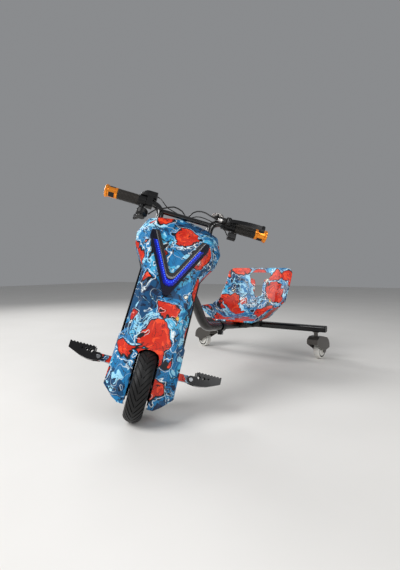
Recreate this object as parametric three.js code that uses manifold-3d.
// Tricycle drift scooter: a raked front drive unit that steers on a curved neck tube,
// and a bucket seat carried low between two swivel castors.
// Millimetres, +Z up, +Y towards the back, +X to the rider's left.
// The front unit is steered to the rider's left, and the ground is at z = 0.
import * as THREE from 'three';
import { mergeVertices } from 'three/addons/utils/BufferGeometryUtils.js';
import Module from 'manifold-3d';

const wasm = await Module();
wasm.setup();

// Clearances, the cutters' overrun and facet counts
const seatGap = 0.3;
const runGap = 0.5;
const overrun = 6;
const sides = { wheel: 32, castor: 14, round: 12, pipe: 10, small: 8, arc: 4, cable: 6, hex: 6 };
const deg = THREE.MathUtils.degToRad;

// Front wheel: solid tyre on a hub motor
const tyre = { radius: 101, width: 50, bore: 66, flank: 3 };
const hub = { width: 44, coverInset: 3, rimWidth: 8, bossRadius: 20, bossWidth: 56, bore: 6.8 };
const axle = { radius: 6, nutRadius: 10.5, nutWidth: 9, stub: 4 };
const crownShares = [[0.82, 1], [0.93, 0.82], [0.985, 0.42], [1, 0]];

// Steering: the axis is raked, and lies behind the wheel centre
const steering = { rake: deg(25.5), turn: deg(38.75), axisBack: 78, headUp: 374, wheelHeight: 105.96 };
const head = { length: 80, radius: 20, wall: 3.7, flange: 3.4, lug: 8, lugHalf: 18 };
const kingpin = { radius: 7, hexRadius: 12.5, hexHeight: 8, tail: 3 };

// Fork: two legs, a crown over the wheel and a box spine
const fork = { legInner: 31, leg: 6, legHalf: 18, crownUp: 110, crown: 6, spineHalf: 20, spineDepth: 28.7 };

// Moulded front shell, its rear cover and the wheel slot
const shell = {
  bottom: -60, top: 505, shoulderHalf: 131, faceHalf: 92, front: 62, crownBulge: 2.5, parting: 28, wall: 3,
  edgeRadius: 7, slotSide: 6, slotOver: 5, cheekTip: 45, cheekKnee: 61, cheekKneeUp: 10, cheekCorner: 94,
  cheekCornerUp: 39, browShare: 0.75, cornerShare: 0.45,
};
const shellShares = [
  { up: 0, half: 0.718, face: 0.674, front: 0.985, corner: 0.42 },
  { up: 0.3044, half: 0.705, face: 0.663, front: 1, corner: 0.42 },
  { up: 0.3257, half: 0.635, face: 0.652, front: 1, corner: 0.48 },
  { up: 0.669, half: 0.645, face: 0.739, front: 1, corner: 0.48 },
  { up: 0.6938, half: 0.7, face: 0.8, front: 1, corner: 0.45 },
  { up: 0.7876, half: 0.955, face: 0.978, front: 1, corner: 0.29 },
  { up: 0.85, half: 1, face: 1, front: 1, corner: 0.15 },
  { up: 0.9558, half: 0.865, face: 0.8, front: 0.4, corner: -0.1 },
  { up: 0.9805, half: 0.56, face: 0.5, front: 0.15, corner: -0.25 },
  { up: 1, half: 0.22, face: 0.19, front: -0.03, corner: -0.35 },
];
const cover = { back: 50, taper: 6, taperInset: 7, wall: 3, slotRound: 1.5, widestShare: 0.72 };
const coverShares = [
  [0.33, 0.018], [0.36, 0.018], [0.47, 0.03], [0.655, 0.08], [0.71, 0.11], [0.71, 0.69], [0.93, 0.793],
  [0.96, 0.85], [0.83, 0.945], [0.5, 0.972],
];
const port = { radius: 9, side: 46, up: 150, depth: 12, rim: 2.5, cap: 2 };
const powerButton = { radius: 8, up: 190, depth: 12, cap: 4, edge: 1 };

// Light bar on the front face: a V of two straight arms
const light = {
  apexUp: 221, tipHalf: 86, tipUp: 394, width: 31, rise: 9, rim: 7, lens: 12, lensRise: 10.5, lensTop: 386,
  trimRise: 7, channel: 4, endUp: 418, blunt: 3, tipRound: 10, lensRound: 19, lensInnerRound: 12,
  trimRound: 15, trimInnerRound: 9,
};

// Handlebar: two risers out of the shell, a crossbar and two bent ends
const bar = { radius: 11.1, riserHalf: 80, gripUp: 530, bend: 32, end: 258, crossUp: 514, crossRadius: 8 };
const stem = { plate: 6, height: 30, half: 97, wall: 4 };
const grip = {
  start: 157, rubberEnd: 222, radius: 15.5, rib: 1.1, ribs: 4, ribShare: 0.7, ringRadius: 17,
  flangeRadius: 20, flange: 6, cap: 3,
};

// Control on the rider's right: display block and thumb throttle
const display = { ringInner: 112.6, inner: 104, outer: 131.5, low: 543, high: 567, front: 16, back: 18,
  round: 7, wall: 4 };
const modeButton = { radius: 5, travel: 1.5, proud: 2.5, depth: 6 };
const throttle = {
  clampInner: 133, clamp: 22, wall: 5.6, side: 136, low: 480, high: 503, radius: 18.5, edge: 5, neckRadius: 8,
  neckSide: 143, pinRadius: 4.5, pinDepth: 6, hubRadius: 13, hub: 5, armWidth: 8, padStart: 21, reach: 35,
  padThick: 5, padHeight: 17, restAngle: deg(40),
};

// Control on the rider's left: brake lever, bell and switch pod
const brake = {
  clampInner: 122, clamp: 24, wall: 4.5, pivotSide: 130, pivotFront: 31, pinRadius: 3, bladeEnd: 236,
  bladeFront: 45, bladeThick: 7, bladeHeight: 12, tipRadius: 7, knuckle: 8,
};
const adjuster = { radius: 5, length: 15, ridge: 1.2, side: 103, front: 21.5 };
const bell = {
  ringInner: 112.6, ring: 8, wall: 3, side: 95, up: 543, front: 4, baseRadius: 13, base: 3.5,
  domeRadius: 19.5, domeRise: 16, domeWall: 1.6, post: 3, leverReach: 38, leverWidth: 9, leverThick: 3,
};
const pod = {
  ringInner: 147.6, ring: 8.6, wall: 3, half: 13, low: 487, high: 508, front: 9, back: 10, round: 4,
  button: 5, travel: 1.5, proud: 2.2,
};
const cable = { radius: 2.2, thin: 1.6, pitch: 6, standoff: 1.8, spacingShare: 1.3, rowShare: 1.5 };
const grommet = { wall: 2.5, height: 7, back: 14, slack: 0.5, roundShare: 0.9 };

// Inside the front unit
const battery = { half: 58, height: 214, round: 6, frontGap: 6 };
const control = { half: 42, height: 52, depth: 27, fins: 7, finDepth: 6, gapLow: 9.7, gapUp: 4 };

// Folding foot pegs
const peg = {
  side: 125.8, up: 40, front: 5, depth: 36, plate: 4, arm: 10.5, start: 13, length: 81.6, top: 24.4, teeth: 8,
  tooth: 2.6, crestShare: 0.4, endLow: 5.5, floor: 3, wall: 2.5, bolt: 3.2, boltHead: 5.6, headThick: 3.5,
  tongue: 9, bracketHalf: 9.5, flange: 5, flangeHalf: 18, lockSide: 17.5,
};
const pegHoles = [{ along: 21.5, up: 11, radius: 5.5 }, { along: 35, up: 11, radius: 4.2 },
  { along: 47, up: 12, radius: 3.2 }];
const pegFloorShares = [[0.18, -1.2], [0.36, -1.15], [0.6, -0.75]];

// Neck tube and the length adjuster
const neck = {
  radius: 17.5, leave: 55, kneeBack: 385, kneeHeight: 263, kneeSlope: deg(56.6), kneeIn: 60, kneeOut: 50,
  runBack: 470, runIn: 40, runSlope: deg(5.9), endBack: 570, socket: 92,
};
const collar = { length: 22, wall: 4.5, ear: 12, earHalf: 7, slit: 2, bolt: 3, boltHead: 5.5 };

// Rear beam with its castors
const beam = { back: 946.5, height: 140.5, depth: 40, thick: 27, half: 312, round: 9, cap: 6, insert: 75,
  tube: 14.5 };
const castor = {
  inset: 38.25, offset: 42, wheelRadius: 40, wheelWidth: 27, axle: 4, hoodTop: 106, hoodWidth: 50, wall: 3,
    cheek: 4,
  flange: 3.5, flangeRadius: 14, collarRadius: 9, pin: 5, boss: 15, rivet: 3, rivetRadius: 8, hoodOver: 4.5,
  nose: 36, noseUp: 74, legHalf: 12, rimRadius: 34, hubRadius: 27, hubInset: 3, hubBoss: 9, hem: 12,
    backAngle: deg(8),
  flatShare: 0.5, swellShare: 0.28, roundingShare: 0.3,
};
const castorTurn = { left: deg(-11), right: deg(69) };

// Bucket seat and its bracket
const seat = {
  front: 663, floor: 190, back: 972, top: 411, half: 159, floorHalf: 145.6, thick: 5, lip: 56, wing: 84,
    headWing: 16,
  bendRadius: 62, rows: 12, columns: 10, slotHalf: 54, slotTop: 389, slotBar: 28, slotStem: 20, slotLow: 276,
  slotRound: 10, shoulder: 26, topRound: 34, frontRound: 30,
};
const seatShares = {
  lean: 0.2, headStart: 0.6, wingStart: 0.25, wingLength: 0.6, sideStart: 0.62, tilt: 0.8, thin: 0.5,
};
const bracket = { front: 700, back: 880, half: 52, plate: 4, web: 6, webBack: 40 };

// Cable routes in the column frame, from each control to the point above the grommet
const throttleRoute = [[-108, -8, 497], [-97, -19, 504], [-78, -18, 514], [-62, -13, 526], [-45, -7, 537],
  [-27, 2, 539],
  [-9, 11, 534]];
const displayRoute = [[-97, -9, 552], [-88, -13, 545], [-78, -15, 535], [-64, -6, 528], [-44, 5, 528],
  [-26, 11, 526],
  [-14, 14, 522]];
const brakeRoute = [[86, -21, 531], [70, -18, 537], [50, -12, 546], [30, -4, 548], [17, 4, 543],
  [9, 11, 533]];
const switchRoute = [[126, -10, 506], [108, -17, 512], [88, -17, 516], [64, -13, 524], [42, -3, 531],
  [26, 9, 533],
  [14, 13, 527]];
const dropRoute = [[12, -22], [2, -60], [0, -97]];

// A closed three.js geometry as a solid, and back
function solidOf(geometry) {
  const plain = geometry.clone();
  plain.deleteAttribute('normal');
  plain.deleteAttribute('uv');
  const merged = mergeVertices(plain);
  const positions = new Float32Array(merged.attributes.position.array);
  const corners = [];
  const index = merged.index.array;
  let volume = 0;
  const a = new THREE.Vector3();
  const b = new THREE.Vector3();
  const c = new THREE.Vector3();
  for (let i = 0; i < index.length; i += 3) {
    const [p, q, r] = [index[i], index[i + 1], index[i + 2]];
    if (p === q || q === r || r === p) continue;
    corners.push(p, q, r);
    a.fromArray(positions, 3 * p);
    b.fromArray(positions, 3 * q);
    c.fromArray(positions, 3 * r);
    volume += a.dot(b.cross(c));
  }
  if (volume < 0) {
    for (let i = 0; i < corners.length; i += 3) [corners[i], corners[i + 1]] = [corners[i + 1], corners[i]];
  }
  const mesh = new wasm.Mesh({ numProp: 3, vertProperties: positions, triVerts: new Uint32Array(corners) });
  return new wasm.Manifold(mesh);
}

function geometryOf(solid) {
  const mesh = solid.getMesh();
  const geometry = new THREE.BufferGeometry();
  geometry.setAttribute('position', new THREE.BufferAttribute(new Float32Array(mesh.vertProperties), 3));
  geometry.setIndex(new THREE.BufferAttribute(new Uint32Array(mesh.triVerts), 1));
  return geometry;
}

const join = (first, ...others) => others.reduce((whole, other) => whole.add(other), first);
const cut = (first, ...tools) => tools.reduce((whole, tool) => whole.subtract(tool), first);

function moved(solid, matrix) {
  const geometry = geometryOf(solid);
  geometry.applyMatrix4(matrix);
  return solidOf(geometry);
}

const mirrored = (solid) => moved(solid, new THREE.Matrix4().makeScale(-1, 1, 1));
const onSide = (solid, side) => (side > 0 ? solid : mirrored(solid));

// Rods, turned profiles, plates and tubes
const vector = (x, y, z) => new THREE.Vector3(x, y, z);

function rod(from, to, radius, count = sides.round) {
  const along = to.clone().sub(from);
  const geometry = new THREE.CylinderGeometry(radius, radius, along.length(), count);
  const turn = new THREE.Quaternion().setFromUnitVectors(vector(0, 1, 0), along.clone().normalize());
  geometry.applyQuaternion(turn);
  const middle = from.clone().add(to).multiplyScalar(0.5);
  geometry.translate(middle.x, middle.y, middle.z);
  return solidOf(geometry);
}

// The radius that leaves the full clearance inside a faceted bore
const boreRadius = (radius, clearance,
  count = sides.round) => (radius + clearance) / Math.cos(Math.PI / count);

// Profile points are [radius, height]; the axis is Z, X or Y
function turned(profile, count = sides.round, axis = 'z') {
  const points = profile.map(([radius, height]) => new THREE.Vector2(radius, height));
  const onAxis = profile[0][0] === 0 && profile[profile.length - 1][0] === 0;
  if (!onAxis) points.push(points[0].clone());
  const geometry = new THREE.LatheGeometry(points, count);
  if (axis === 'z') geometry.rotateX(Math.PI / 2);
  if (axis === 'x') geometry.rotateZ(-Math.PI / 2);
  return solidOf(geometry);
}

const moveBy = (solid, x, y, z) => moved(solid, new THREE.Matrix4().makeTranslation(x, y, z));

function outline(points) {
  return new THREE.Shape(points.map(([x, y]) => new THREE.Vector2(x, y)));
}

function roundedRect(x0, y0, x1, y1, radius) {
  const shape = new THREE.Shape();
  shape.moveTo(x0 + radius, y0);
  shape.lineTo(x1 - radius, y0);
  shape.absarc(x1 - radius, y0 + radius, radius, -Math.PI / 2, 0);
  shape.lineTo(x1, y1 - radius);
  shape.absarc(x1 - radius, y1 - radius, radius, 0, Math.PI / 2);
  shape.lineTo(x0 + radius, y1);
  shape.absarc(x0 + radius, y1 - radius, radius, Math.PI / 2, Math.PI);
  shape.lineTo(x0, y0 + radius);
  shape.absarc(x0 + radius, y0 + radius, radius, Math.PI, 1.5 * Math.PI);
  return shape;
}

function extruded(shape, depth, curve = 3) {
  return new THREE.ExtrudeGeometry(shape, { depth, bevelEnabled: false, curveSegments: curve });
}

// A shape in (x, z) carried from y0 to y1, in (y, z) from x0 to x1, and in (x, y) from z0 to z1
function alongY(shape, y0, y1, curve) {
  const geometry = extruded(shape, y1 - y0, curve);
  geometry.rotateX(Math.PI / 2);
  geometry.translate(0, y1, 0);
  return solidOf(geometry);
}

function alongX(shape, x0, x1, curve) {
  const geometry = extruded(shape, x1 - x0, curve);
  geometry.applyMatrix4(new THREE.Matrix4().makeBasis(vector(0, 1, 0), vector(0, 0, 1), vector(1, 0, 0)));
  geometry.translate(x0, 0, 0);
  return solidOf(geometry);
}

function alongZ(shape, z0, z1, curve) {
  const geometry = extruded(shape, z1 - z0, curve);
  geometry.translate(0, 0, z0);
  return solidOf(geometry);
}

function block(x0, x1, y0, y1, z0, z1) {
  const geometry = new THREE.BoxGeometry(x1 - x0, y1 - y0, z1 - z0);
  geometry.translate((x0 + x1) / 2, (y0 + y1) / 2, (z0 + z1) / 2);
  return solidOf(geometry);
}

// A path that the extruder samples at these points only
class Stations extends THREE.Curve {
  constructor(points) {
    super();
    this.points = points;
  }

  index(share) {
    return Math.round(share * (this.points.length - 1));
  }

  getPointAt(share) {
    return this.points[this.index(share)].clone();
  }

  getTangentAt(share) {
    const i = this.index(share);
    const last = this.points.length - 1;
    const before = this.points[Math.max(i, 1)].clone().sub(this.points[Math.max(i, 1) - 1]).normalize();
    const after = this.points[Math.min(i + 1, last)].clone().sub(this.points[Math.min(i,
      last - 1)]).normalize();
    return before.add(after).normalize();
  }
}

function tubeThrough(points, radius, count) {
  const ring = [];
  for (let i = 0; i < count; i += 1) {
    const angle = (2 * Math.PI * i) / count;
    ring.push([radius * Math.cos(angle), radius * Math.sin(angle)]);
  }
  return solidOf(new THREE.ExtrudeGeometry(
    outline(ring), { extrudePath: new Stations(points), steps: points.length - 1, bevelEnabled: false }));
}

// A skin through rings of points, closed by a fan at both ends
function lofted(rings) {
  const count = rings[0].length;
  const positions = [];
  const index = [];
  rings.flat().forEach((point) => positions.push(point.x, point.y, point.z));
  for (let r = 0; r + 1 < rings.length; r += 1) {
    for (let i = 0; i < count; i += 1) {
      const a = r * count + i;
      const b = r * count + ((i + 1) % count);
      index.push(a, b, b + count, a, b + count, a + count);
    }
  }
  for (const [start, ring] of [[0, rings[0]], [(rings.length - 1) * count, rings[rings.length - 1]]]) {
    const centre = ring.reduce((sum, point) => sum.add(point), vector(0, 0, 0)).divideScalar(count);
    const middle = positions.length / 3;
    positions.push(centre.x, centre.y, centre.z);
    for (let i = 0; i < count; i += 1) {
      const pair = [start + i, start + ((i + 1) % count)];
      if (start === 0) pair.reverse();
      index.push(middle, ...pair);
    }
  }
  const geometry = new THREE.BufferGeometry();
  geometry.setAttribute('position', new THREE.Float32BufferAttribute(positions, 3));
  geometry.setIndex(index);
  return solidOf(geometry);
}

// The scene graph: pieces of the front unit are placed in its own column frame, where
// z runs up the column from the wheel centre and y runs to the back
const scooter = new THREE.Group();
const column = new THREE.Group();
column.position.z = steering.wheelHeight;
column.rotation.x = -steering.rake;
const swing = new THREE.Group();
swing.position.y = steering.axisBack;
swing.rotation.z = steering.turn;
const frontUnit = new THREE.Group();
frontUnit.position.y = -steering.axisBack;
swing.add(frontUnit);
column.add(swing);
scooter.add(column);

function place(group, name, solid, color, roughness, metalness = 0) {
  const material = new THREE.MeshStandardMaterial({ color, roughness, metalness });
  const mesh = new THREE.Mesh(geometryOf(solid), material);
  mesh.name = name;
  group.add(mesh);
  return mesh;
}

// A point of the column frame in the frame of the ground
function fromColumn(x, y, z) {
  column.updateMatrix();
  return vector(x, y, z).applyMatrix4(column.matrix);
}

// Front wheel
function crownProfile(radius, half) {
  const rising = crownShares.map(([outward, across]) => [radius * outward, -half * across]);
  const falling = crownShares.slice(0, -1).reverse().map(([outward, across]) => [radius * outward,
    half * across]);
  return [...rising, ...falling];
}

function tyreSolid() {
  const half = tyre.width / 2;
  const bead = half - tyre.flank;
  return turned([[tyre.bore, -bead], ...crownProfile(tyre.radius, half), [tyre.bore, bead]], sides.wheel,
    'x');
}

function hubSolid() {
  const rim = tyre.bore * Math.cos(Math.PI / sides.wheel) - seatGap;
  const half = hub.width / 2;
  const cover = half - hub.coverInset;
  const side = [
    [rim, half], [rim - hub.rimWidth, half], [rim - hub.rimWidth - hub.coverInset, cover],
    [hub.bossRadius + hub.coverInset, cover], [hub.bossRadius, hub.bossWidth / 2],
      [hub.bore, hub.bossWidth / 2],
  ];
  const other = side.map(([radius, across]) => [radius, -across]).reverse();
  return turned([...other, ...side], sides.round, 'x');
}

const legOuter = fork.legInner + fork.leg;

function axleSolid() {
  const nut = legOuter + seatGap;
  const end = nut + axle.nutWidth + axle.stub;
  const shaft = rod(vector(-end, 0, 0), vector(end, 0, 0), axle.radius, sides.small);
  const nuts = [-1, 1].map((side) => rod(
    vector(side * nut, 0, 0), vector(side * (nut + axle.nutWidth), 0, 0), axle.nutRadius, sides.hex));
  return join(shaft, ...nuts);
}

// The stack inside the shell: battery, controller, handlebar feet and stem bracket
const batteryLow = fork.crownUp + fork.crown + seatGap;
const controlLow = batteryLow + battery.height + control.gapLow;
const controlTop = controlLow + control.height;
const barFoot = controlTop + control.gapUp;
const stemLow = barFoot + stem.wall;
const stemTop = stemLow + stem.height;

// Fork: legs, crown, spine and the two lugs of the steering joint
const spineBack = cover.back - cover.wall - seatGap;
const spineFront = spineBack - fork.spineDepth;
const lugGap = head.length / 2 + head.flange + 2 * seatGap;
const lugInner = { low: steering.headUp - lugGap, high: steering.headUp + lugGap };

function lugSolid(low) {
  const shape = new THREE.Shape();
  shape.moveTo(-head.lugHalf, spineFront + overrun);
  shape.lineTo(head.lugHalf, spineFront + overrun);
  shape.lineTo(head.lugHalf, steering.axisBack);
  shape.absarc(0, steering.axisBack, head.lugHalf, 0, Math.PI);
  return alongZ(shape, low, low + head.lug, sides.arc);
}

function forkSolid() {
  const legShape = new THREE.Shape();
  legShape.moveTo(fork.legHalf, 0);
  legShape.lineTo(fork.legHalf, fork.crownUp + fork.crown);
  legShape.lineTo(-fork.legHalf, fork.crownUp + fork.crown);
  legShape.lineTo(-fork.legHalf, 0);
  legShape.absarc(0, 0, fork.legHalf, Math.PI, 2 * Math.PI);
  const crown = block(-legOuter, legOuter, -fork.legHalf, spineBack, fork.crownUp, fork.crownUp + fork.crown);
  const spine = alongZ(
    roundedRect(-fork.spineHalf, spineFront, fork.spineHalf, spineBack, fork.leg), fork.crownUp,
    Math.max(stemTop, lugInner.high + head.lug));
  const axleBore = rod(
    vector(-legOuter - overrun, 0, 0), vector(legOuter + overrun, 0, 0),
      boreRadius(axle.radius, seatGap, sides.small),
    sides.small);
  const pinBore = rod(
    vector(0, steering.axisBack, lugInner.low - head.lug - overrun),
    vector(0, steering.axisBack, lugInner.high + head.lug + overrun), boreRadius(kingpin.radius, seatGap));
  const whole = join(
    alongX(legShape, fork.legInner, legOuter, sides.arc),
      alongX(legShape, -legOuter, -fork.legInner, sides.arc),
    crown, spine, lugSolid(lugInner.low - head.lug), lugSolid(lugInner.high));
  return cut(whole, axleBore, pinBore);
}

function kingpinSolid() {
  const top = lugInner.high + head.lug + seatGap;
  const low = lugInner.low - head.lug - seatGap - kingpin.hexHeight - kingpin.tail;
  const at = (z) => vector(0, steering.axisBack, z);
  return join(
    rod(at(low), at(top + kingpin.hexHeight / 2), kingpin.radius),
    rod(at(top), at(top + kingpin.hexHeight), kingpin.hexRadius, sides.hex));
}

function kingpinNutSolid() {
  const top = lugInner.low - head.lug - seatGap;
  const at = (z) => vector(0, steering.axisBack, z);
  return cut(
    rod(at(top - kingpin.hexHeight), at(top), kingpin.hexRadius, sides.hex),
    rod(at(top - kingpin.hexHeight - overrun), at(top + overrun), boreRadius(kingpin.radius, seatGap)));
}

// Front shell: rings of half profiles, each a face, a chamfer and a side wall
const shellUp = (share) => shell.bottom + share * (shell.top - shell.bottom);

function rounded(before, corner, after, radius, steps) {
  const start = corner.clone().lerp(before, Math.min(shell.cornerShare, radius / corner.distanceTo(before)));
  const end = corner.clone().lerp(after, Math.min(shell.cornerShare, radius / corner.distanceTo(after)));
  return new THREE.QuadraticBezierCurve(start, corner, end).getPoints(steps);
}

function shellRing(level, inset, backTo, steps) {
  const half = level.half * shell.shoulderHalf - inset;
  const face = level.face * shell.faceHalf - inset / 2;
  const front = level.front * shell.front - inset;
  const corner = level.corner * shell.front - inset / 2;
  const centre = new THREE.Vector2(0, front + shell.crownBulge);
  const brow = new THREE.Vector2(face / 2, front + shell.crownBulge * shell.browShare);
  const cheek = new THREE.Vector2(face, front);
  const flank = new THREE.Vector2(half, corner);
  const rear = new THREE.Vector2(half, -backTo);
  const right = [
    brow, ...rounded(brow, cheek, flank, shell.edgeRadius, steps),
      ...rounded(cheek, flank, rear, shell.edgeRadius, steps),
    rear];
  const left = [...right].reverse().map((point) => new THREE.Vector2(-point.x, point.y));
  return [centre, ...right, ...left];
}

function shellLoft(inset, backTo, steps) {
  const last = shellShares.length - 1;
  return lofted(shellShares.map((level, i) => {
    const up = shellUp(level.up) - (i === last ? inset : 0) + (i === 0 ? inset : 0);
    return shellRing(level, inset, backTo, steps).map((point) => vector(point.x, -point.y, up));
  }));
}

// What the shell's pointed lower corners leave, seen from the front
function cheekMask(inset) {
  const low = shell.bottom + inset;
  const tall = shell.top + overrun;
  const wide = shell.shoulderHalf + overrun;
  const right = [
    [shell.cheekTip, low], [shell.cheekKnee, low + shell.cheekKneeUp],
      [shell.cheekCorner, low + shell.cheekCornerUp],
    [wide, low + shell.cheekCornerUp], [wide, tall],
  ];
  const left = [...right].reverse().map(([x, up]) => [-x, up]);
  const reach = shell.front + shell.crownBulge + cover.back;
  return alongY(outline([...right, ...left]), -reach, reach);
}

function wheelSlot() {
  return turned(
    [[0, -tyre.width / 2 - shell.slotSide], ...crownProfile(tyre.radius + shell.slotOver,
      tyre.width / 2 + shell.slotSide),
      [0, tyre.width / 2 + shell.slotSide]], sides.wheel, 'x');
}

function pegWindow() {
  const half = peg.bracketHalf + 2 * runGap;
  const deep = peg.depth / 2 - peg.plate + 2 * runGap;
  return block(
    -peg.side, peg.side, -peg.front - deep, -peg.front + deep, peg.up - half, peg.up + half);
}

function riserBores() {
  return [-1, 1].map((side) => rod(
    vector(side * bar.riserHalf, 0, barFoot), vector(side * bar.riserHalf, 0, shell.top + overrun),
    boreRadius(bar.radius, runGap)));
}

function grommetOutline(grow) {
  const half = cable.rowShare * cable.pitch + cable.radius + grommet.slack + grow;
  const deep = cable.radius + grommet.slack + grow;
  return roundedRect(-half, grommet.back - deep, half, grommet.back + deep, deep * grommet.roundShare);
}

function frontShellSolid() {
  const outer = shellLoft(0, shell.parting, 2).intersect(cheekMask(0));
  const inner = shellLoft(shell.wall, shell.parting + overrun, 1).intersect(cheekMask(shell.wall));
  const grommetHole = alongZ(grommetOutline(grommet.wall), shell.top - 4 * shell.wall, shell.top + overrun);
  return cut(outer, inner, wheelSlot(), pegWindow(), ...riserBores(), grommetHole);
}

// Rear cover: a dish that closes the shell, with slots for the steering lugs
function coverRing(back, inset) {
  const right = coverShares.map(([half, up]) => [half * shell.shoulderHalf, shellUp(up)]);
  const middle = (shell.top + shell.bottom) / 2;
  const widest = shell.shoulderHalf;
  const shrink = (value, reach) => value * (1 - inset / reach);
  const points = [...right, ...[...right].reverse().map(([x, up]) => [-x, up])];
  return points.map(([x, up]) => vector(
    shrink(x, widest * cover.widestShare), back, middle + shrink(up - middle,
      (shell.top - shell.bottom) / 2)));
}

const coverFront = shell.parting + seatGap;

function rearCoverSolid() {
  const outer = lofted([coverRing(coverFront, 0), coverRing(cover.back - cover.taper, 0),
    coverRing(cover.back, cover.taperInset)]);
  const inner = lofted([
    coverRing(coverFront - overrun, cover.wall), coverRing(cover.back - cover.taper, cover.wall),
    coverRing(cover.back - cover.wall, cover.wall + cover.taperInset / 2)]);
  const slots = [lugInner.low - head.lug, lugInner.high].map((low) => block(
    -head.lugHalf - cover.slotRound, head.lugHalf + cover.slotRound, shell.parting, cover.back + overrun,
    low - cover.slotRound, low + head.lug + cover.slotRound));
  const hole = (side, up, radius) => rod(
    vector(side, shell.parting, up), vector(side, cover.back + overrun, up), boreRadius(radius, seatGap));
  return cut(
    outer, inner, wheelSlot(), ...slots, hole(port.side, port.up, port.radius),
    hole(port.side, powerButton.up, powerButton.radius));
}

function chargePortSolid() {
  const profile = [
    [0, -port.depth], [port.radius, -port.depth], [port.radius, seatGap], [port.radius + port.rim, seatGap],
    [port.radius + port.rim, port.cap], [port.radius - port.rim, 2 * port.cap], [0, 2 * port.cap]];
  return facingBack(turned(profile), port.side, cover.back, port.up);
}

// A solid turned about z, laid with its z towards the back and set down at a point
function facingBack(solid, x, y, z) {
  const lie = new THREE.Matrix4().makeRotationX(-Math.PI / 2);
  return moved(solid, new THREE.Matrix4().makeTranslation(x, y, z).multiply(lie));
}

function powerButtonSolid() {
  const button = turned([
    [0, -powerButton.depth], [powerButton.radius, -powerButton.depth],
      [powerButton.radius, powerButton.cap - powerButton.edge],
    [powerButton.radius - powerButton.edge, powerButton.cap], [0, powerButton.cap]]);
  return facingBack(button, port.side, cover.back, powerButton.up);
}

// Light bar: strips parallel to the outer edge of a V, kept to a mask that blunts its ends
const lightSlope = Math.atan2(light.tipUp - light.apexUp, light.tipHalf);

function vShape(outer, inner, outerRound, innerRound) {
  const footOf = (offset) => light.apexUp + offset / Math.cos(lightSlope);
  const reach = light.tipHalf + 2 * light.width;
  const rise = reach * Math.tan(lightSlope);
  const low = -Math.PI / 2;
  const shape = new THREE.Shape();
  shape.moveTo(-reach, footOf(inner) + rise);
  shape.lineTo(-reach, footOf(outer) + rise);
  shape.absarc(0, footOf(outer) + outerRound / Math.cos(lightSlope), outerRound, low - lightSlope,
    low + lightSlope);
  shape.lineTo(reach, footOf(outer) + rise);
  shape.lineTo(reach, footOf(inner) + rise);
  shape.absarc(0, footOf(inner) + innerRound / Math.cos(lightSlope), innerRound, low + lightSlope,
    low - lightSlope, true);
  return shape;
}

function vSolid(shape, low, high, side, top) {
  const right = [[side, shell.bottom], [side, top - light.blunt], [side - light.blunt, top]];
  const mask = outline([...right, ...[...right].reverse().map(([x, up]) => [-x, up])]);
  const front = -shell.front;
  return alongY(shape, front - high, front - low, sides.arc).intersect(
    alongY(mask, front - high - overrun, front - low + overrun));
}

const lensStart = light.rim;
const lensEnd = light.rim + light.lens;

function lightSolids() {
  const side = light.tipHalf;
  const lensSide = side - light.rim;
  const body = join(
    vSolid(vShape(0, light.width, light.tipRound, light.trimInnerRound), -overrun, light.channel, side,
      light.endUp),
    vSolid(
      vShape(0, lensStart, light.tipRound, light.lensRound), light.channel - seatGap, light.rise, side,
        light.endUp));
  const bezel = cut(body, shellLoft(-seatGap, shell.parting, 2));
  const base = light.channel + seatGap;
  const lens = vSolid(
    vShape(lensStart + seatGap, lensEnd - seatGap, light.lensRound, light.lensInnerRound), base,
      light.lensRise,
    lensSide, light.lensTop);
  const trim = vSolid(
    vShape(lensEnd + seatGap, light.width, light.trimRound, light.trimInnerRound), base, light.trimRise,
      lensSide,
    light.endUp);
  return { bezel, lens, trim };
}

// Handlebar and the stem bracket that holds its risers
function handlebarSide() {
  const bend = new THREE.EllipseCurve(
    bar.riserHalf + bar.bend, bar.gripUp - bar.bend, bar.bend, bar.bend, Math.PI, Math.PI / 2, true);
  const points = bend.getPoints(5).map((point) => vector(point.x, 0, point.y));
  return tubeThrough(
    [vector(bar.riserHalf, 0, barFoot), ...points, vector(bar.end, 0, bar.gripUp)], bar.radius, sides.pipe);
}

function handlebarSolid() {
  const side = handlebarSide();
  const cross = rod(vector(-bar.riserHalf, 0, bar.crossUp), vector(bar.riserHalf, 0, bar.crossUp),
    bar.crossRadius, sides.pipe);
  return join(side, mirrored(side), cross);
}

function stemSolid() {
  const back = spineFront - seatGap;
  const plate = block(-stem.half, stem.half, back - stem.plate, back, stemLow, stemTop);
  const sleeve = bar.radius + seatGap + stem.wall;
  const at = (side, up) => vector(side * bar.riserHalf, 0, up);
  const sleeves = [-1, 1].map((side) => rod(at(side, stemLow), at(side, stemTop), sleeve));
  const bores = [-1, 1].map((side) => rod(
    at(side, stemLow - overrun), at(side, stemTop + overrun), boreRadius(bar.radius, seatGap)));
  return cut(join(plate, ...sleeves), ...bores);
}

const barBore = (outer, inner) => rod(
  vector(outer, 0, bar.gripUp), vector(inner, 0, bar.gripUp), boreRadius(bar.radius, seatGap));

function gripSolid() {
  const bore = boreRadius(bar.radius, seatGap);
  const profile = [[bore, grip.start], [grip.radius + grip.rib, grip.start]];
  const pitch = (grip.rubberEnd - grip.start) / grip.ribs;
  for (let i = 0; i < grip.ribs; i += 1) {
    const at = grip.start + i * pitch;
    profile.push([grip.radius + grip.rib, at + pitch * grip.ribShare],
      [grip.radius, at + pitch * grip.ribShare + grip.rib]);
    if (i < grip.ribs - 1) profile.push([grip.radius + grip.rib, at + pitch]);
  }
  profile.push([grip.radius, grip.rubberEnd], [bore, grip.rubberEnd]);
  return moveBy(turned(profile, sides.pipe, 'x'), 0, 0, bar.gripUp);
}

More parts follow.
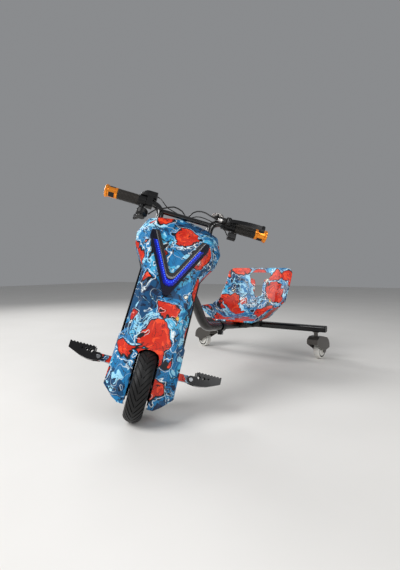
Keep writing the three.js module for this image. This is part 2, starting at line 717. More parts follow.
function gripRingSolid() {
  const bore = boreRadius(bar.radius, seatGap);
  const start = grip.rubberEnd + seatGap;
  const end = bar.end + seatGap;
  const out = end + grip.cap;
  const ring = turned([
    [bore, start], [grip.ringRadius, start], [grip.ringRadius, end - grip.flange],
      [grip.flangeRadius, end - grip.flange / 2],
    [grip.flangeRadius, out - grip.cap / 2], [grip.ringRadius, out], [0, out], [0, end], [bore, end]],
      sides.round, 'x');
  const notches = [];
  for (let i = 0; i < sides.hex; i += 1) {
    const angle = (i * 2 * Math.PI) / sides.hex;
    const at = (x) => vector(x, grip.flangeRadius * Math.sin(angle), grip.flangeRadius * Math.cos(angle));
    notches.push(rod(at(end - grip.flange), at(out + overrun), grip.cap, sides.cable));
  }
  return moveBy(cut(ring, ...notches), 0, 0, bar.gripUp);
}

// Rider's right: display block with its mode button, and the thumb throttle
const displayMiddle = (display.low + display.high) / 2;
const displaySide = (display.inner + display.outer) / 2;

function displaySolid() {
  const ringRadius = bar.radius + seatGap + display.wall;
  const ring = alongX(
    roundedRect(-ringRadius, bar.gripUp - ringRadius, ringRadius, display.low + display.round, display.round),
    display.ringInner, display.outer);
  const box = alongX(
    roundedRect(-display.front, display.low, display.back, display.high, display.round), display.inner,
      display.outer);
  const bore = barBore(display.ringInner - overrun, display.outer + overrun);
  const buttonHole = rod(
    vector(displaySide, display.back - modeButton.depth, displayMiddle),
    vector(displaySide, display.back + overrun, displayMiddle),
      boreRadius(modeButton.radius, seatGap, sides.small),
    sides.small);
  return mirrored(cut(join(box, ring), bore, buttonHole));
}

function modeButtonSolid() {
  const inner = display.back - modeButton.depth + modeButton.travel + seatGap;
  const button = rod(
    vector(displaySide, inner, displayMiddle), vector(displaySide, display.back + modeButton.proud,
      displayMiddle),
    modeButton.radius, sides.small);
  return mirrored(button);
}

function throttleSolid() {
  const outer = throttle.clampInner + throttle.clamp;
  const radius = bar.radius + seatGap + throttle.wall;
  const ring = rod(vector(throttle.clampInner, 0, bar.gripUp), vector(outer, 0, bar.gripUp), radius);
  const knob = turned([
    [0, throttle.low], [throttle.radius - throttle.edge, throttle.low],
      [throttle.radius, throttle.low + throttle.edge],
    [throttle.radius, throttle.high - throttle.edge], [throttle.radius - throttle.edge, throttle.high],
      [0, throttle.high]]);
  const neckRod = rod(
    vector(throttle.neckSide, 0, throttle.high - throttle.edge), vector(throttle.neckSide, 0, bar.gripUp),
    throttle.neckRadius);
  const pinBore = rod(
    vector(throttle.side, 0, throttle.low - overrun), vector(throttle.side, 0,
      throttle.low + throttle.pinDepth + runGap),
    boreRadius(throttle.pinRadius, runGap, sides.small), sides.small);
  const whole = join(ring, moveBy(knob, throttle.side, 0, 0), neckRod);
  return mirrored(cut(whole, barBore(throttle.clampInner - overrun, outer + overrun), pinBore));
}

// The lever turns below the knob; its paddle stands behind the knob, where the thumb is
function throttleLeverSolid() {
  const top = throttle.low - runGap;
  const low = top - throttle.hub;
  const half = throttle.armWidth / 2;
  const hubRod = rod(vector(0, 0, low), vector(0, 0, top), throttle.hubRadius);
  const pin = rod(vector(0, 0, top), vector(0, 0, throttle.low + throttle.pinDepth), throttle.pinRadius,
    sides.small);
  const arm = alongZ(roundedRect(-half, 0, half, throttle.reach, half - seatGap), low, top);
  const pad = block(
    -throttle.padThick / 2, throttle.padThick / 2, throttle.padStart, throttle.reach, low,
      low + throttle.padHeight);
  const set = new THREE.Matrix4().makeTranslation(throttle.side, 0, 0)
    .multiply(new THREE.Matrix4().makeRotationZ(-throttle.restAngle));
  return mirrored(moved(join(hubRod, pin, arm, pad), set));
}

// Rider's left: brake lever on its perch, bell and switch pod
function perchSolid() {
  const outer = brake.clampInner + brake.clamp;
  const radius = bar.radius + seatGap + brake.wall;
  const ring = rod(vector(brake.clampInner, 0, bar.gripUp), vector(outer, 0, bar.gripUp), radius);
  const pivot = (z) => vector(brake.pivotSide, -brake.pivotFront, z);
  const half = brake.bladeHeight / 2 + runGap + brake.wall / 2;
  const boss = rod(pivot(bar.gripUp - half), pivot(bar.gripUp + half), brake.knuckle);
  const arm = block(
    brake.pivotSide - brake.knuckle, brake.pivotSide + brake.knuckle, -brake.pivotFront, -bar.radius,
      bar.gripUp - half,
    bar.gripUp + half);
  const nose = block(
    adjuster.side + adjuster.length / 2, brake.pivotSide, -adjuster.front - adjuster.radius - adjuster.ridge,
    -adjuster.front + adjuster.radius + adjuster.ridge, bar.gripUp - adjuster.radius,
      bar.gripUp + adjuster.radius);
  const slotHalf = brake.bladeHeight / 2 + runGap;
  const slot = block(
    brake.pivotSide - brake.knuckle - runGap, brake.pivotSide + brake.knuckle + overrun,
      -brake.pivotFront - brake.knuckle - overrun,
    -brake.pivotFront + brake.knuckle + runGap, bar.gripUp - slotHalf, bar.gripUp + slotHalf);
  const pinShaft = rod(pivot(bar.gripUp - half), pivot(bar.gripUp + half), brake.pinRadius, sides.small);
  return join(cut(join(ring, arm, boss, nose), slot, barBore(brake.clampInner - overrun, outer + overrun)),
    pinShaft);
}

function brakeLeverSolid() {
  const half = brake.bladeHeight / 2;
  const low = bar.gripUp - half;
  const high = bar.gripUp + half;
  const start = new THREE.Vector2(brake.pivotSide, -brake.pivotFront);
  const end = new THREE.Vector2(brake.bladeEnd, -brake.bladeFront);
  const mid = new THREE.Vector2((start.x + end.x) / 2, -brake.bladeFront - brake.bladeThick / 2);
  const spine = new THREE.QuadraticBezierCurve(start, mid, end);
  const outerSide = [];
  const innerSide = [];
  for (const point of spine.getPoints(8)) {
    outerSide.push([point.x, point.y - brake.bladeThick / 2]);
    innerSide.unshift([point.x, point.y + brake.bladeThick / 2]);
  }
  const blade = alongZ(outline([...outerSide, ...innerSide]), low, high);
  const hubRod = rod(vector(start.x, start.y, low), vector(start.x, start.y, high), brake.knuckle - runGap);
  const tip = rod(vector(end.x, end.y, low), vector(end.x, end.y, high), brake.tipRadius, sides.pipe);
  const bore = rod(
    vector(start.x, start.y, low - overrun), vector(start.x, start.y, high + overrun),
    boreRadius(brake.pinRadius, runGap, sides.small), sides.small);
  return cut(join(blade, hubRod, tip), bore);
}

function adjusterSolid() {
  const rise = adjuster.radius + adjuster.ridge;
  const half = adjuster.length / 2 - seatGap;
  const profile = [
    [cable.radius + seatGap, -half], [adjuster.radius, -half], [rise, -half / 2], [rise, half / 2],
      [adjuster.radius, half],
    [cable.radius + seatGap, half]];
  return moveBy(turned(profile, sides.pipe, 'x'), adjuster.side, -adjuster.front, bar.gripUp);
}

function bellBaseSolid() {
  const radius = bar.radius + seatGap + bell.wall;
  const outer = bell.ringInner + bell.ring;
  const ring = rod(vector(bell.ringInner, 0, bar.gripUp), vector(outer, 0, bar.gripUp), radius);
  const at = (z) => vector(bell.side, -bell.front, z);
  const disc = rod(at(bell.up), at(bell.up + bell.base), bell.baseRadius);
  const arm = block(bell.side, outer, -bell.front - bell.wall * 2, -bell.front + bell.wall * 2, bell.up,
    bell.up + bell.base);
  const post = rod(at(bell.up), at(bell.up + bell.domeRise - bell.domeWall - seatGap), bell.post,
    sides.small);
  return cut(join(ring, disc, arm, post), barBore(bell.ringInner - overrun, outer + overrun));
}

function bellDomeSolid() {
  const low = bell.up + bell.base + bell.leverThick + 3 * seatGap;
  const rise = bell.up + bell.domeRise - low;
  const arc = (radius, height, count) => {
    const points = [];
    for (let i = 0; i <= count; i += 1) {
      const angle = (i / count) * (Math.PI / 2);
      points.push([radius * Math.sin(angle), low + height * Math.cos(angle)]);
    }
    return points;
  };
  const outer = arc(bell.domeRadius, rise, 5);
  const inner = arc(bell.domeRadius - bell.domeWall, rise - bell.domeWall, 5).reverse();
  return moveBy(turned([...outer, ...inner]), bell.side, -bell.front, 0);
}

function bellLeverSolid() {
  const low = bell.up + bell.base + seatGap;
  const ringRadius = bell.post + runGap + bell.wall;
  const at = (z) => vector(bell.side, -bell.front, z);
  const ring = rod(at(low), at(low + bell.leverThick), ringRadius);
  const arm = alongZ(
    roundedRect(
      bell.side, -bell.front - bell.leverWidth / 2, bell.side + bell.leverReach,
        -bell.front + bell.leverWidth / 2,
      bell.leverWidth / 3), low, low + bell.leverThick);
  const thumb = block(
    bell.side + bell.leverReach - bell.leverWidth, bell.side + bell.leverReach,
      -bell.front - bell.leverWidth / 2,
    -bell.front + bell.leverWidth / 2, low, low + bell.leverThick * 3);
  const bore = rod(at(low - overrun), at(low + overrun), boreRadius(bell.post, runGap, sides.small),
    sides.small);
  return cut(join(ring, arm, thumb), bore);
}

const podMiddle = (pod.low + pod.high) / 2;
const podCentre = pod.ringInner + pod.ring / 2;

function podSolid() {
  const radius = bar.radius + seatGap + pod.wall;
  const ring = rod(vector(pod.ringInner, 0, bar.gripUp), vector(pod.ringInner + pod.ring, 0, bar.gripUp),
    radius);
  const box = alongX(
    roundedRect(-pod.front, pod.low, pod.back, pod.high, pod.round), podCentre - pod.half,
      podCentre + pod.half);
  const strap = block(pod.ringInner, pod.ringInner + pod.ring, -pod.wall, pod.wall, podMiddle,
    bar.gripUp - bar.radius);
  const hole = rod(
    vector(podCentre, pod.back - pod.button - pod.travel - seatGap, podMiddle),
      vector(podCentre, pod.back + overrun, podMiddle),
    boreRadius(pod.button, seatGap, sides.small), sides.small);
  return cut(join(ring, box, strap), barBore(pod.ringInner - overrun, pod.ringInner + pod.ring + overrun),
    hole);
}

function hornButtonSolid() {
  return rod(
    vector(podCentre, pod.back - pod.button, podMiddle), vector(podCentre, pod.back + pod.proud, podMiddle),
      pod.button,
    sides.small);
}

// Cables: each runs from its control over the crossbar, through the grommet and down to the controller
function cableSolid(points, radius) {
  const path = new THREE.CatmullRomCurve3(points, false, 'centripetal');
  return tubeThrough(path.getSpacedPoints(Math.round(cable.spacingShare * points.length)), radius,
    sides.cable);
}

// From its start at the control, through the route and one hole of the grommet, down to the controller
function cableRun(start, route, slot, radius) {
  const x = slot * cable.pitch;
  const drop = dropRoute.map(([y, down]) => vector(x, y, shell.top + down));
  return cableSolid([
    start, ...route.map(([side, y, up]) => vector(side, y, up)),
    vector(x, grommet.back, shell.top + 2 * grommet.height), vector(x, grommet.back, shell.top), ...drop,
    vector(x, 0, controlTop + seatGap)], radius);
}

function cableSolids() {
  const knobSide = -throttle.side + throttle.radius + cable.standoff;
  const throttleStart = vector(knobSide, 0, (throttle.low + throttle.high) / 2);
  const displayStart = vector(-display.inner + cable.standoff, -cable.pitch, displayMiddle);
  const brakeStart = vector(adjuster.side - adjuster.length / 2 - cable.standoff, -adjuster.front,
    bar.gripUp);
  const switchStart = vector(podCentre - pod.half - cable.standoff, 0, podMiddle);
  return {
    throttle_cable: cableRun(throttleStart, throttleRoute, -1 / 2, cable.radius),
    display_cable: cableRun(displayStart, displayRoute, -3 / 2, cable.thin),
    brake_cable: cableRun(brakeStart, brakeRoute, 1 / 2, cable.radius),
    switch_cable: cableRun(switchStart, switchRoute, 3 / 2, cable.thin) };
}

function grommetSolid() {
  const low = shell.top - shell.wall;
  return cut(
    alongZ(grommetOutline(grommet.wall - seatGap), low, low + grommet.height),
    alongZ(grommetOutline(0), low - overrun, low + grommet.height + overrun));
}

// Battery on the crown, controller above it, both against the spine
function batterySolid() {
  const back = spineFront - seatGap;
  const front = -shell.front + shell.wall + battery.frontGap;
  const shape = roundedRect(-battery.half, front, battery.half, back, battery.round);
  return alongZ(shape, batteryLow, batteryLow + battery.height);
}

function controllerSolid() {
  const back = spineFront - seatGap;
  const front = back - control.depth;
  const pitch = (2 * control.half) / (2 * control.fins - 1);
  const body = block(-control.half, control.half, front + control.finDepth, back, controlLow, controlTop);
  const fins = [];
  for (let i = 0; i < control.fins; i += 1) {
    const x = -control.half + 2 * i * pitch;
    fins.push(block(x, x + pitch, front, front + control.finDepth + seatGap, controlLow, controlTop));
  }
  return join(body, ...fins);
}

// Foot pegs: modelled on the +X side with the hinge bolt at the origin
const pegBottom = pegFloorShares.map(([along, low]) => [peg.length * along, peg.arm * low]);

function pegProfile() {
  const shape = new THREE.Shape();
  const pitch = (peg.length - peg.start) / peg.teeth;
  shape.moveTo(0, peg.arm);
  shape.absarc(0, 0, peg.arm, Math.PI / 2, 1.5 * Math.PI);
  pegBottom.forEach(([x, low]) => shape.lineTo(x, low));
  shape.lineTo(peg.length, peg.endLow);
  for (let i = peg.teeth; i > 0; i -= 1) {
    shape.lineTo(peg.start + i * pitch, peg.top);
    shape.lineTo(peg.start + (i - peg.crestShare) * pitch, peg.top);
    shape.lineTo(peg.start + (i - 2 * peg.crestShare) * pitch, peg.top - peg.tooth);
  }
  shape.lineTo(peg.start, peg.top);
  shape.lineTo(peg.start, peg.arm);
  return shape;
}

function pegSolid() {
  const half = peg.depth / 2;
  const inside = half - peg.plate;
  const whole = alongY(pegProfile(), -half, half, sides.small / 2);
  const wallAt = peg.tongue + 2 * peg.wall;
  const tongueRoom = block(-peg.length, wallAt, -inside, inside, -peg.top, peg.top + overrun);
  const floor = outline([
    [wallAt + peg.wall, peg.top + overrun], [wallAt + peg.wall, -peg.arm + peg.floor],
    ...pegBottom.slice(1).map(([x, low]) => [x, low + peg.floor]),
      [peg.length - peg.wall, peg.endLow + peg.floor],
    [peg.length - peg.wall, peg.top + overrun]]);
  const tray = alongY(floor, -inside, inside);
  const holes = pegHoles.map((hole) => rod(
    vector(hole.along, -half - overrun, hole.up), vector(hole.along, half + overrun, hole.up), hole.radius,
      sides.hex));
  const bolt = rod(
    vector(0, -half - overrun, 0), vector(0, half + overrun, 0), boreRadius(peg.bolt, runGap, sides.small),
      sides.small);
  return cut(whole, tongueRoom, tray, ...holes, bolt);
}

function pegBracketSolid() {
  const inside = peg.depth / 2 - peg.plate - seatGap;
  const root = legOuter + seatGap - peg.side;
  const tongue = new THREE.Shape();
  tongue.moveTo(root, -peg.bracketHalf);
  tongue.lineTo(0, -peg.tongue);
  tongue.absarc(0, 0, peg.tongue, -Math.PI / 2, Math.PI / 2);
  tongue.lineTo(root, peg.bracketHalf);
  const flange = block(root, root + peg.flange, -inside, inside, -peg.flangeHalf, peg.flangeHalf);
  const bore = rod(
    vector(0, -peg.depth, 0), vector(0, peg.depth, 0), boreRadius(peg.bolt, seatGap, sides.small),
      sides.small);
  const lock = moveBy(pegBolt(inside), -peg.lockSide, 0, 0);
  return join(cut(join(alongY(tongue, -inside, inside, sides.small / 2), flange), bore), lock);
}

// A bolt along Y with a head at each end
function pegBolt(half) {
  const end = half + peg.headThick;
  return turned([
    [0, -end], [peg.boltHead, -end], [peg.boltHead, -half], [peg.bolt, -half], [peg.bolt, half],
      [peg.boltHead, half],
    [peg.boltHead, end], [0, end]], sides.small, 'y');
}

const atPeg = (solid) => moveBy(solid, peg.side, -peg.front, peg.up);

// Neck tube, from the head tube down to the length clamp
const runDirection = vector(0, Math.cos(neck.runSlope), -Math.sin(neck.runSlope));
const beamCentre = vector(0, beam.back, beam.height);
const onRun = (y) => beamCentre.clone().addScaledVector(runDirection, (y - beam.back) / runDirection.y);

function neckPoints() {
  const start = fromColumn(0, steering.axisBack, steering.headUp);
  const leave = fromColumn(0, steering.axisBack + neck.leave, steering.headUp);
  const knee = vector(0, neck.kneeBack, neck.kneeHeight);
  const fall = vector(0, Math.cos(neck.kneeSlope), -Math.sin(neck.kneeSlope));
  const run = onRun(neck.runBack);
  const upper = new THREE.CubicBezierCurve3(start, leave, knee.clone().addScaledVector(fall, -neck.kneeIn),
    knee);
  const lower = new THREE.CubicBezierCurve3(
    knee, knee.clone().addScaledVector(fall, neck.kneeOut),
      run.clone().addScaledVector(runDirection, -neck.runIn), run);
  return [...upper.getPoints(6), ...lower.getPoints(5).slice(1), onRun(neck.endBack)];
}

function neckSolid() {
  const headAt = (up, extra = 0) => fromColumn(0, steering.axisBack, steering.headUp + up + extra);
  const half = head.length / 2;
  const tube = tubeThrough(neckPoints(), neck.radius, sides.pipe);
  const headTube = rod(headAt(-half), headAt(half), head.radius);
  const bore = rod(headAt(-half - overrun), headAt(half + overrun), head.radius - head.wall);
  const socket = rod(
    onRun(neck.endBack - neck.socket), onRun(neck.endBack + overrun),
      beam.tube + seatGap, sides.pipe);
  return cut(join(tube, headTube), bore, socket);
}

function bearingSolid() {
  const bore = boreRadius(kingpin.radius, seatGap);
  const outer = head.radius - head.wall - seatGap / Math.cos(Math.PI / sides.round) - seatGap;
  return turned([
    [bore, seatGap], [head.radius, seatGap], [head.radius, seatGap + head.flange],
      [bore, seatGap + head.flange]])
    .add(turned([[bore, -2 * head.flange], [outer, -2 * head.flange], [outer, seatGap + head.flange / 2],
      [bore, seatGap + head.flange / 2]]));
}

function collarSolids() {
  const start = neck.endBack - collar.length;
  const inner = boreRadius(neck.radius, seatGap);
  const outer = neck.radius + collar.wall;
  const shape = new THREE.Shape();
  shape.absarc(0, 0, outer, 0, 2 * Math.PI);
  const ring = alongX(shape, 0, collar.length, sides.small);
  const ears = block(
    0, collar.length, -collar.earHalf, collar.earHalf, neck.radius, outer + collar.ear);
  const slit = block(-overrun, collar.length + overrun, -collar.slit / 2, collar.slit / 2, 0,
    outer + collar.ear + overrun);
  const hole = new THREE.Shape();
  hole.absarc(0, 0, inner, 0, 2 * Math.PI);
  const boltUp = outer + collar.ear / 2;
  const boltEnd = collar.earHalf + seatGap;
  const bore = alongX(hole, -overrun, collar.length + overrun, sides.small);
  const boltHole = rod(
    vector(collar.length / 2, -collar.earHalf - overrun, boltUp),
      vector(collar.length / 2, collar.earHalf + overrun, boltUp),
    boreRadius(collar.bolt, seatGap, sides.small), sides.small);
  const bolt = turned([
    [0, -boltEnd - collar.bolt], [collar.boltHead, -boltEnd - collar.bolt], [collar.boltHead, -boltEnd],
      [collar.bolt, -boltEnd],
    [collar.bolt, boltEnd], [collar.boltHead, boltEnd], [collar.boltHead, boltEnd + collar.bolt],
      [0, boltEnd + collar.bolt]],
  sides.small, 'y');
  const at = onRun(start);
  const frame = new THREE.Matrix4().makeBasis(
    runDirection, vector(1, 0, 0), vector(0, runDirection.z, -runDirection.y)).setPosition(at);
  return {
    ring: moved(cut(join(ring, ears), slit, bore, boltHole), frame),
    bolt: moved(moveBy(bolt, collar.length / 2, 0, boltUp), frame) };
}

// Rear beam with the sliding tube welded to it
const castorSide = beam.half - castor.inset;

function beamShape() {
  const [deep, half] = [beam.depth / 2, beam.thick / 2];
  return roundedRect(beam.back - deep, beam.height - half, beam.back + deep, beam.height + half, beam.round);
}

function beamSolid() {
  const end = beam.back - beam.depth / 2 + beam.round;
  const tube = rod(onRun(neck.endBack - beam.insert), onRun(end), beam.tube, sides.pipe);
  const stems = [-1, 1].map((side) => rod(
    vector(side * castorSide, beam.back, beam.height - beam.thick),
      vector(side * castorSide, beam.back, beam.height),
    boreRadius(castor.pin, seatGap, sides.small), sides.small));
  return cut(join(tube, alongX(beamShape(), -beam.half, beam.half)), ...stems);
}

function beamCapSolid() {
  const start = beam.half + seatGap;
  return alongX(beamShape(), start, start + beam.cap);
}

const beamUnder = beam.height - beam.thick / 2;

// Castors: modelled about the swivel axis with the wheel trailing towards +Y
function castorStemSolid() {
  const under = beamUnder - seatGap;
  const hoodLow = castor.hoodTop - castor.hem;
  return turned([
    [0, beam.height - seatGap], [castor.pin, beam.height - seatGap], [castor.pin, under],
      [castor.flangeRadius, under],
    [castor.flangeRadius, under - castor.flange], [castor.collarRadius, under - castor.flange],
    [castor.collarRadius, castor.hoodTop + seatGap], [castor.pin, castor.hoodTop + seatGap],
    [castor.pin, hoodLow - seatGap], [castor.rivetRadius, hoodLow - seatGap],
      [castor.rivetRadius, hoodLow - seatGap - castor.rivet],
    [0, hoodLow - seatGap - castor.rivet]], sides.pipe);
}

function hoodSolid() {
  const half = castor.hoodWidth / 2;
  const radius = castor.wheelRadius + castor.hoodOver + castor.wall;
  const hubAt = { y: castor.offset, z: castor.wheelRadius };
  const hem = castor.hoodTop - castor.hem;
  const side = new THREE.Shape();
  side.moveTo(-castor.nose, hem);
  side.lineTo(-castor.boss, castor.hoodTop);
  side.lineTo(castor.offset * castor.flatShare, castor.hoodTop);
  const quarter = Math.PI / 2;
  for (let i = 0; i <= sides.arc; i += 1) {
    const angle = quarter - (i / sides.arc) * (quarter - castor.backAngle);
    const reach = radius * (1 + castor.swellShare * Math.sin(angle));
    side.lineTo(hubAt.y + reach * Math.cos(angle), hubAt.z + reach * Math.sin(angle));
  }
  side.lineTo(hubAt.y + castor.legHalf, hubAt.z);
  side.absarc(hubAt.y, hubAt.z, castor.legHalf, 0, -Math.PI, true);
  side.lineTo(-castor.nose, castor.noseUp);
  const body = alongX(side, -half, half, sides.arc);
  const inside = half - castor.cheek;
  const wheelRoom = rod(
    vector(-inside, hubAt.y, hubAt.z), vector(inside, hubAt.y, hubAt.z),
      castor.wheelRadius + castor.hoodOver, sides.wheel);
  const under = block(-inside, inside, -castor.nose + castor.wall, castor.offset, 0, hem);
  const bore = rod(vector(0, 0, 0), vector(0, 0, castor.hoodTop + overrun), boreRadius(castor.pin, runGap));
  const pinEnd = half - castor.cheek / 2;
  const pin = rod(vector(-pinEnd, hubAt.y, hubAt.z), vector(pinEnd, hubAt.y, hubAt.z), castor.axle,
    sides.small);
  return join(cut(body, wheelRoom, under, bore), pin);
}

function castorWheelSolid() {
  const half = castor.wheelWidth / 2;
  const bore = boreRadius(castor.axle, runGap);
  const rounding = half * castor.roundingShare;
  const side = [
    [castor.wheelRadius, half - rounding], [castor.wheelRadius - rounding, half],
    [castor.rimRadius, half - castor.hubInset], [castor.hubRadius, half - castor.hubInset],
      [castor.hubRadius, half],
    [castor.hubBoss, half],
    [castor.hubBoss, castor.hoodWidth / 2 - castor.cheek - runGap],
      [bore, castor.hoodWidth / 2 - castor.cheek - runGap]];
  const other = side.map(([radius, across]) => [radius, -across]).reverse();
  return turned([...other, ...side], sides.castor, 'x');
}

// Bucket seat: a sheet swept from the pan up the backrest, with raised side wings
function seatSection(share) {
  const lean = (seat.back - seat.front - seat.bendRadius) * seatShares.lean;
  const foot = seat.back - lean;
  const panLength = foot - seat.bendRadius - seat.front;
  const arc = (Math.PI / 2) * seat.bendRadius;
  const wallLength = seat.top - seat.floor - seat.bendRadius;
  const along = share * (panLength + arc + wallLength);
  if (along <= panLength) return { y: seat.front + along, z: seat.floor, angle: 0 };
  if (along <= panLength + arc) {
    const angle = (along - panLength) / seat.bendRadius;
    return {
      y: seat.front + panLength + seat.bendRadius * Math.sin(angle),
      z: seat.floor + seat.bendRadius * (1 - Math.cos(angle)), angle };
  }
  const up = along - panLength - arc;
  return { y: foot + (lean * up) / wallLength, z: seat.floor + seat.bendRadius + up, angle: Math.PI / 2 };
}

// The T cut-out of the backrest, with rounded shoulders under its bar
function seatCutOut() {
  const barLow = seat.slotTop - seat.slotBar;
  const barEnd = seat.slotHalf - seat.slotRound;
  const right = new THREE.Shape();
  right.moveTo(0, seat.slotLow);
  right.lineTo(seat.slotStem - seat.slotRound, seat.slotLow);
  right.quadraticCurveTo(seat.slotStem, seat.slotLow, seat.slotStem, seat.slotLow + seat.slotRound);
  right.lineTo(seat.slotStem, barLow - seat.shoulder);
  right.quadraticCurveTo(seat.slotStem, barLow, seat.slotStem + seat.shoulder, barLow);
  right.quadraticCurveTo(seat.slotHalf, barLow, seat.slotHalf, (barLow + seat.slotTop) / 2);
  right.quadraticCurveTo(seat.slotHalf, seat.slotTop, barEnd, seat.slotTop);
  const points = right.getPoints(2).map((point) => [point.x, point.y]);
  const left = points.slice(1).reverse().map(([x, up]) => [-x, up]);
  return alongY(outline([...points, ...left]), seat.front + seat.bendRadius, seat.back + 2 * overrun);
}

// How far the side of the seat is raised, at a share of the way from its lip to its top
function seatLift(share) {
  const head = THREE.MathUtils.smoothstep(share, seatShares.headStart, 1);
  const wing = THREE.MathUtils.clamp((share - seatShares.wingStart) / seatShares.wingLength, 0, 1);
  return THREE.MathUtils.lerp(seat.lip, seat.headWing,
    head) + (seat.wing - seat.lip) * Math.sin(Math.PI * wing);
}

function seatSolid() {
  const rings = [];
  for (let r = 0; r <= seat.rows; r += 1) {
    const share = r / seat.rows;
    const at = seatSection(share);
    const lift = seatLift(share);
    const inward = vector(0, -Math.sin(at.angle), Math.cos(at.angle));
    const top = [];
    const under = [];
    for (let c = 0; c <= seat.columns; c += 1) {
      const across = (2 * c) / seat.columns - 1;
      const rise = THREE.MathUtils.smoothstep(Math.abs(across), seatShares.sideStart, 1);
      const x = across * THREE.MathUtils.lerp(seat.floorHalf, seat.half, rise);
      const point = vector(x, at.y, at.z).addScaledVector(inward, lift * rise);
      const away = vector(-Math.sign(across) * rise * seatShares.tilt, 0, 0)
        .addScaledVector(inward, 1 - seatShares.thin * rise).normalize();
      top.push(point);
      under.unshift(point.clone().addScaledVector(away, -seat.thick));
    }
    rings.push([...top, ...under]);
  }
  const wide = seat.half + overrun;
  const fromFront = alongY(
    roundedRect(-wide, -seat.top, wide, seat.top, seat.topRound), seat.front - seat.wing,
      seat.back + seat.wing);
  const fromAbove = alongZ(
    roundedRect(-wide, seat.front, wide, seat.back + seat.wing, seat.frontRound), -seat.top, 2 * seat.top);
  return cut(sheet(rings).intersect(fromFront).intersect(fromAbove), seatCutOut());
}

// A closed sheet from rings whose first half is its top side and second half its underside
function sheet(rings) {
  const count = rings[0].length;
  const half = count / 2;
  const positions = [];
  const index = [];
  rings.flat().forEach((point) => positions.push(point.x, point.y, point.z));
  for (let r = 0; r + 1 < rings.length; r += 1) {
    for (let i = 0; i < count; i += 1) {
      const a = r * count + i;
      const b = r * count + ((i + 1) % count);
      index.push(a, b, b + count, a, b + count, a + count);
    }
  }
  for (const start of [0, (rings.length - 1) * count]) {
    for (let i = 0; i + 1 < half; i += 1) {
      const quad = [start + i, start + i + 1, start + count - 2 - i, start + count - 1 - i];
      if (start === 0) quad.reverse();
      index.push(quad[0], quad[1], quad[2], quad[0], quad[2], quad[3]);
    }
  }
  const geometry = new THREE.BufferGeometry();
  geometry.setAttribute('position', new THREE.Float32BufferAttribute(positions, 3));
  geometry.setIndex(index);
  return solidOf(geometry);
}

function bracketSolid() {
  const top = seat.floor - seat.thick - seatGap;
  const plate = block(-bracket.half, bracket.half, bracket.front, bracket.back, top - bracket.plate, top);
  const deep = neck.radius;
  const web = (y0, y1) => block(-bracket.half + bracket.web, bracket.half - bracket.web, y0, y1,
    onRun(y0).z - deep / 2, top - bracket.plate / 2);
  const tubeRoom = rod(
    onRun(bracket.front - 2 * overrun), onRun(bracket.back + 2 * overrun),
      beam.tube + seatGap, sides.pipe);
  const webs = [web(bracket.front, bracket.front + bracket.webBack),
    web(bracket.back - bracket.webBack, bracket.back)];
  return cut(join(plate, ...webs), tubeRoom);
}

// Colours of the finishes
const tone = {
  rubber: '#151515', motor: '#2a2b2d', steel: '#a9abad', black: '#131314', blackMetal: '#1a1a1b',
    print: '#2f6fa8',
  lens: '#1230c8', trim: '#2b2c30', gold: '#e8952a', chrome: '#d8dadc', battery: '#2c4a7a',
    aluminium: '#b9bcc0',
  neckPaint: '#38312c', hood: '#3a3835', castorWhite: '#d9d9d6' };

place(frontUnit, 'tyre', tyreSolid(), tone.rubber, 0.85);
place(frontUnit, 'front_hub', hubSolid(), tone.motor, 0.4, 0.8);
place(frontUnit, 'front_axle', axleSolid(), tone.steel, 0.35, 1);
place(frontUnit, 'fork', forkSolid(), tone.blackMetal, 0.45, 0.6);
place(frontUnit, 'kingpin', kingpinSolid(), tone.steel, 0.35, 1);
place(frontUnit, 'kingpin_nut', kingpinNutSolid(), tone.steel, 0.35, 1);
place(frontUnit, 'front_shell', frontShellSolid(), tone.print, 0.25);
place(frontUnit, 'rear_cover', rearCoverSolid(), tone.black, 0.5);
place(frontUnit, 'charge_port', chargePortSolid(), tone.black, 0.7);
place(frontUnit, 'power_button', powerButtonSolid(), tone.aluminium, 0.4, 1);
const lightParts = lightSolids();
place(frontUnit, 'light_bezel', lightParts.bezel, tone.black, 0.25);
place(frontUnit, 'light_strip', lightParts.lens, tone.lens, 0.3);
place(frontUnit, 'light_trim', lightParts.trim, tone.trim, 0.2, 0.3);
place(frontUnit, 'handlebar', handlebarSolid(), tone.blackMetal, 0.35, 0.6);
place(frontUnit, 'stem_bracket', stemSolid(), tone.blackMetal, 0.5, 0.6);
place(frontUnit, 'cable_grommet', grommetSolid(), tone.rubber, 0.8);
place(frontUnit, 'battery_pack', batterySolid(), tone.battery, 0.5);
place(frontUnit, 'controller', controllerSolid(), tone.aluminium, 0.45, 1);
place(frontUnit, 'display_block', displaySolid(), tone.black, 0.4);
place(frontUnit, 'mode_button', modeButtonSolid(), tone.rubber, 0.6);
place(frontUnit, 'throttle_housing', throttleSolid(), tone.black, 0.4);
place(frontUnit, 'throttle_lever', throttleLeverSolid(), tone.black, 0.5);
place(frontUnit, 'brake_perch', perchSolid(), tone.black, 0.4);
place(frontUnit, 'brake_lever', brakeLeverSolid(), tone.blackMetal, 0.35, 0.6);
place(frontUnit, 'barrel_adjuster', adjusterSolid(), tone.chrome, 0.25, 1);
place(frontUnit, 'bell_base', bellBaseSolid(), tone.black, 0.5);
place(frontUnit, 'bell_dome', bellDomeSolid(), tone.chrome, 0.15, 1);
place(frontUnit, 'bell_lever', bellLeverSolid(), tone.black, 0.5);
place(frontUnit, 'switch_pod', podSolid(), tone.black, 0.5);
place(frontUnit, 'horn_button', hornButtonSolid(), tone.rubber, 0.6);
for (const [name, solid] of Object.entries(cableSolids())) place(frontUnit, name, solid, tone.black, 0.6);
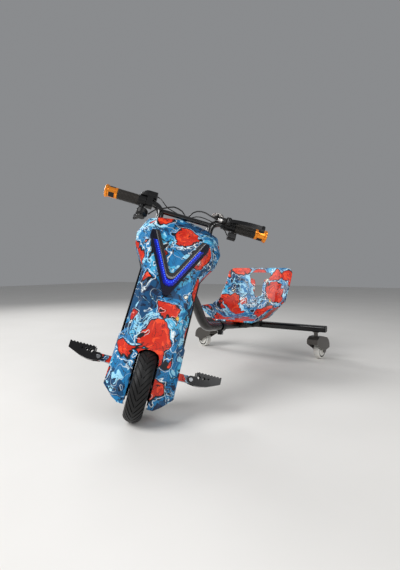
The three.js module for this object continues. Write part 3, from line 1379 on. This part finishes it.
for (const [word, side] of [['left', 1], ['right', -1]]) {
  place(frontUnit, `grip_${word}`, onSide(gripSolid(), side), tone.rubber, 0.85);
  place(frontUnit, `grip_ring_${word}`, onSide(gripRingSolid(), side), tone.gold, 0.35, 0.8);
  place(frontUnit, `peg_bracket_${word}`, onSide(atPeg(pegBracketSolid()), side), tone.print, 0.35);
  place(frontUnit, `peg_bolt_${word}`, onSide(atPeg(pegBolt(peg.depth / 2 + seatGap)), side), tone.steel,
    0.3, 1);
  place(frontUnit, `peg_${word}`, onSide(atPeg(pegSolid()), side), tone.black, 0.4, 0.5);
}

const bearings = [['upper', 1], ['lower', -1]];
for (const [word, side] of bearings) {
  const bearing = place(column, `head_bearing_${word}`, bearingSolid(), tone.steel, 0.35, 1);
  bearing.position.set(0, steering.axisBack, steering.headUp + (side * head.length) / 2);
  if (side < 0) bearing.rotation.x = Math.PI;
}
place(scooter, 'neck_tube', neckSolid(), tone.neckPaint, 0.4, 0.6);
const collarParts = collarSolids();
place(scooter, 'clamp_collar', collarParts.ring, tone.blackMetal, 0.4, 0.6);
place(scooter, 'collar_bolt', collarParts.bolt, tone.steel, 0.3, 1);
place(scooter, 'rear_beam', beamSolid(), tone.blackMetal, 0.4, 0.6);
place(scooter, 'seat_bracket', bracketSolid(), tone.blackMetal, 0.5, 0.6);
place(scooter, 'seat_shell', seatSolid(), tone.print, 0.3);
for (const [word, side] of [['left', 1], ['right', -1]]) {
  place(scooter, `beam_cap_${word}`, onSide(beamCapSolid(), side), tone.black, 0.5);
  const stand = new THREE.Group();
  stand.position.set(side * castorSide, beam.back, 0);
  scooter.add(stand);
  place(stand, `castor_stem_${word}`, castorStemSolid(), tone.steel, 0.4, 1);
  const swivel = new THREE.Group();
  swivel.rotation.z = castorTurn[word];
  stand.add(swivel);
  place(swivel, `castor_hood_${word}`, hoodSolid(), tone.hood, 0.45, 0.6);
  const wheel = place(swivel, `castor_wheel_${word}`, castorWheelSolid(), tone.castorWhite, 0.4);
  wheel.position.set(0, castor.offset, castor.wheelRadius);
}

// The origin of the part is on the ground, under the middle of its outline
const bounds = new THREE.Box3().setFromObject(scooter, true);
const middle = bounds.getCenter(new THREE.Vector3());
scooter.position.set(-middle.x, -middle.y, -bounds.min.z);

export default scooter;
